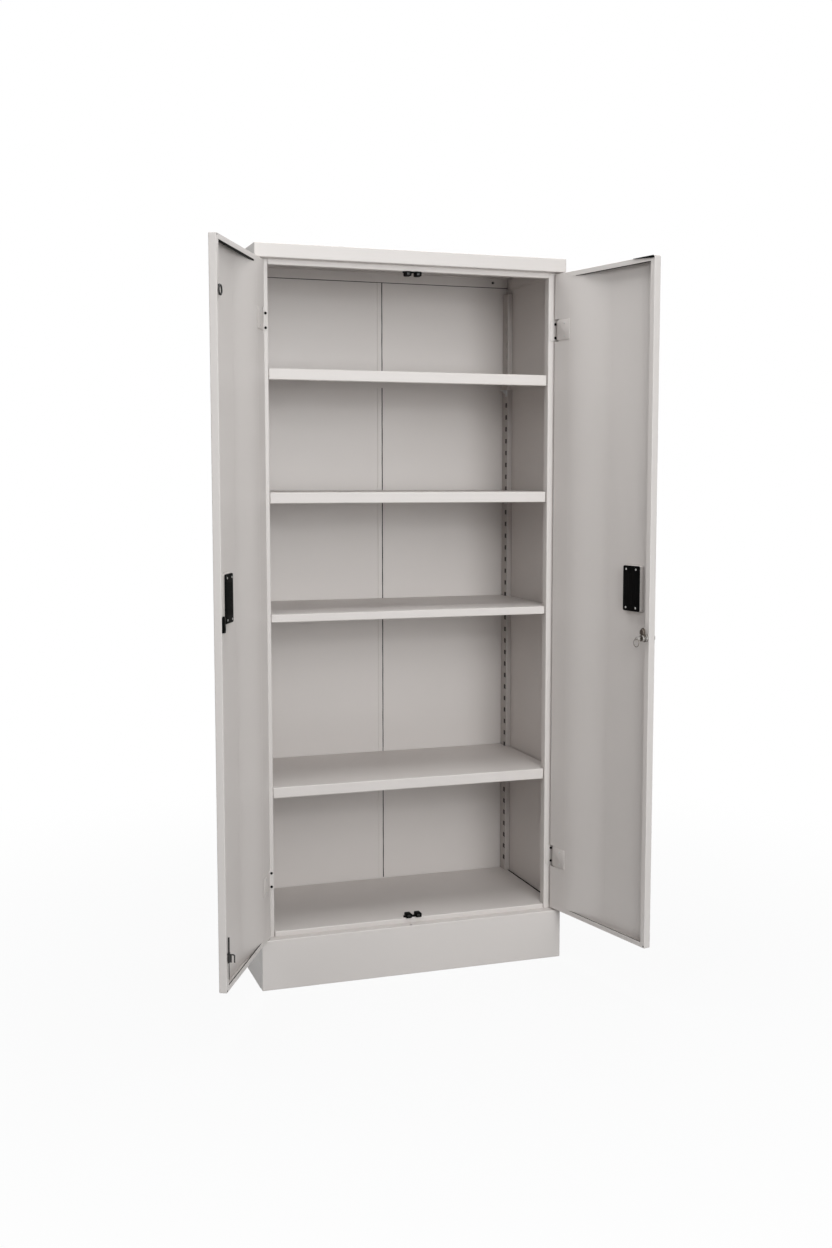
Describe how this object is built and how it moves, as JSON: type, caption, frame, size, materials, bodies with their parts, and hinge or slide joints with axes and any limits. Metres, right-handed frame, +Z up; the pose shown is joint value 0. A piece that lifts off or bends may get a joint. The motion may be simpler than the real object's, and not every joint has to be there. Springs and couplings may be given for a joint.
{
  "type": "two-door metal storage cabinet",
  "caption": "Tall sheet-steel storage cabinet with two hinged doors, adjustable shelves on slotted uprights, recessed pulls, a cam lock, door bolts and a plinth.",
  "frame": {"origin": "on the floor, in the middle of the foot folded under the plinth's front, 11 mm behind the front face", "axes": "+X to the viewer's right when facing the doors, +Y into the cabinet, +Z up"},
  "size_m": [1.0443, 0.7791, 1.816],
  "materials": {
    "paint": "satin powder coat, warm light grey",
    "hinge_paint": "satin powder coat",
    "zinc": "zinc plated",
    "chrome": "bright plated",
    "cam_steel": "plated steel",
    "black_steel": "black, satin",
    "black_plastic": "moulded, satin"
  },
  "bodies": {
    "case": {"side_panel_left": "paint", "side_panel_right": "paint", "top_panel": "paint", "plinth_front": "paint", "plinth_rear_rail": "paint", "back_panel_left": "paint", "back_panel_right": "paint", "back_top_rail": "paint", "floor_pan": "paint", "shelf_1": "paint", "shelf_2": "paint", "shelf_3": "paint", "shelf_4": "paint", "upright_front_left": "paint", "upright_front_right": "paint", "upright_rear_left": "paint", "upright_rear_right": "paint", "shelf_1_clip_front_left": "zinc", "shelf_1_clip_front_right": "zinc", "shelf_1_clip_rear_left": "zinc", "shelf_1_clip_rear_right": "zinc", "shelf_2_clip_front_left": "zinc", "shelf_2_clip_front_right": "zinc", "shelf_2_clip_rear_left": "zinc", "shelf_2_clip_rear_right": "zinc", "shelf_3_clip_front_left": "zinc", "shelf_3_clip_front_right": "zinc", "shelf_3_clip_rear_left": "zinc", "shelf_3_clip_rear_right": "zinc", "shelf_4_clip_front_left": "zinc", "shelf_4_clip_front_right": "zinc", "shelf_4_clip_rear_left": "zinc", "shelf_4_clip_rear_right": "zinc", "catch_top": "black_plastic", "catch_bottom": "black_plastic", "hinge_left_upper_frame_leaf": "hinge_paint", "hinge_left_lower_frame_leaf": "hinge_paint", "hinge_right_upper_frame_leaf": "hinge_paint", "hinge_right_lower_frame_leaf": "hinge_paint"},
    "left_door": {"door_left": "paint", "handle_cup_left": "black_plastic", "hinge_left_upper_door_leaf": "hinge_paint", "hinge_left_lower_door_leaf": "hinge_paint", "keeper_left": "black_plastic"},
    "right_door": {"door_right": "paint", "handle_cup_right": "black_plastic", "hinge_right_upper_door_leaf": "hinge_paint", "hinge_right_lower_door_leaf": "hinge_paint", "lock_barrel": "chrome", "top_wedge_right": "black_plastic"},
    "lock_plug": {"lock_cam": "cam_steel", "lock_key": "chrome"},
    "key_ring": {"key_ring": "chrome"},
    "top_bolt": {"bolt_top": "black_steel"},
    "bottom_bolt": {"bolt_bottom": "black_steel"}
  },
  "joints": [
    {"name": "left_door_hinge", "type": "hinge", "parent": "case", "child": "left_door", "pos_m": [-0.387, -0.002, 0.955], "axis": [0, 0, -1], "range_deg": [-116.5, 1.5]},
    {"name": "right_door_hinge", "type": "hinge", "parent": "case", "child": "right_door", "pos_m": [0.387, -0.002, 0.955], "axis": [0, 0, 1], "range_deg": [-102, 15.5]},
    {"name": "lock_turn", "type": "hinge", "parent": "right_door", "child": "lock_plug", "pos_m": [0.46497, -0.36881, 0.888], "axis": [0.9781, 0.2079, 0], "range_deg": [0, 90]},
    {"name": "key_ring_swing", "type": "hinge", "parent": "lock_plug", "child": "key_ring", "pos_m": [0.42701, -0.37687, 0.8874], "axis": [-0.2079, 0.9781, 0], "range_deg": [-35, 60]},
    {"name": "top_bolt_slide", "type": "slide", "parent": "left_door", "child": "top_bolt", "axis": [0, 0, 1], "range_m": [0, 0.012]},
    {"name": "bottom_bolt_slide", "type": "slide", "parent": "left_door", "child": "bottom_bolt", "axis": [0, 0, -1], "range_m": [0, 0.012]}
  ]
}
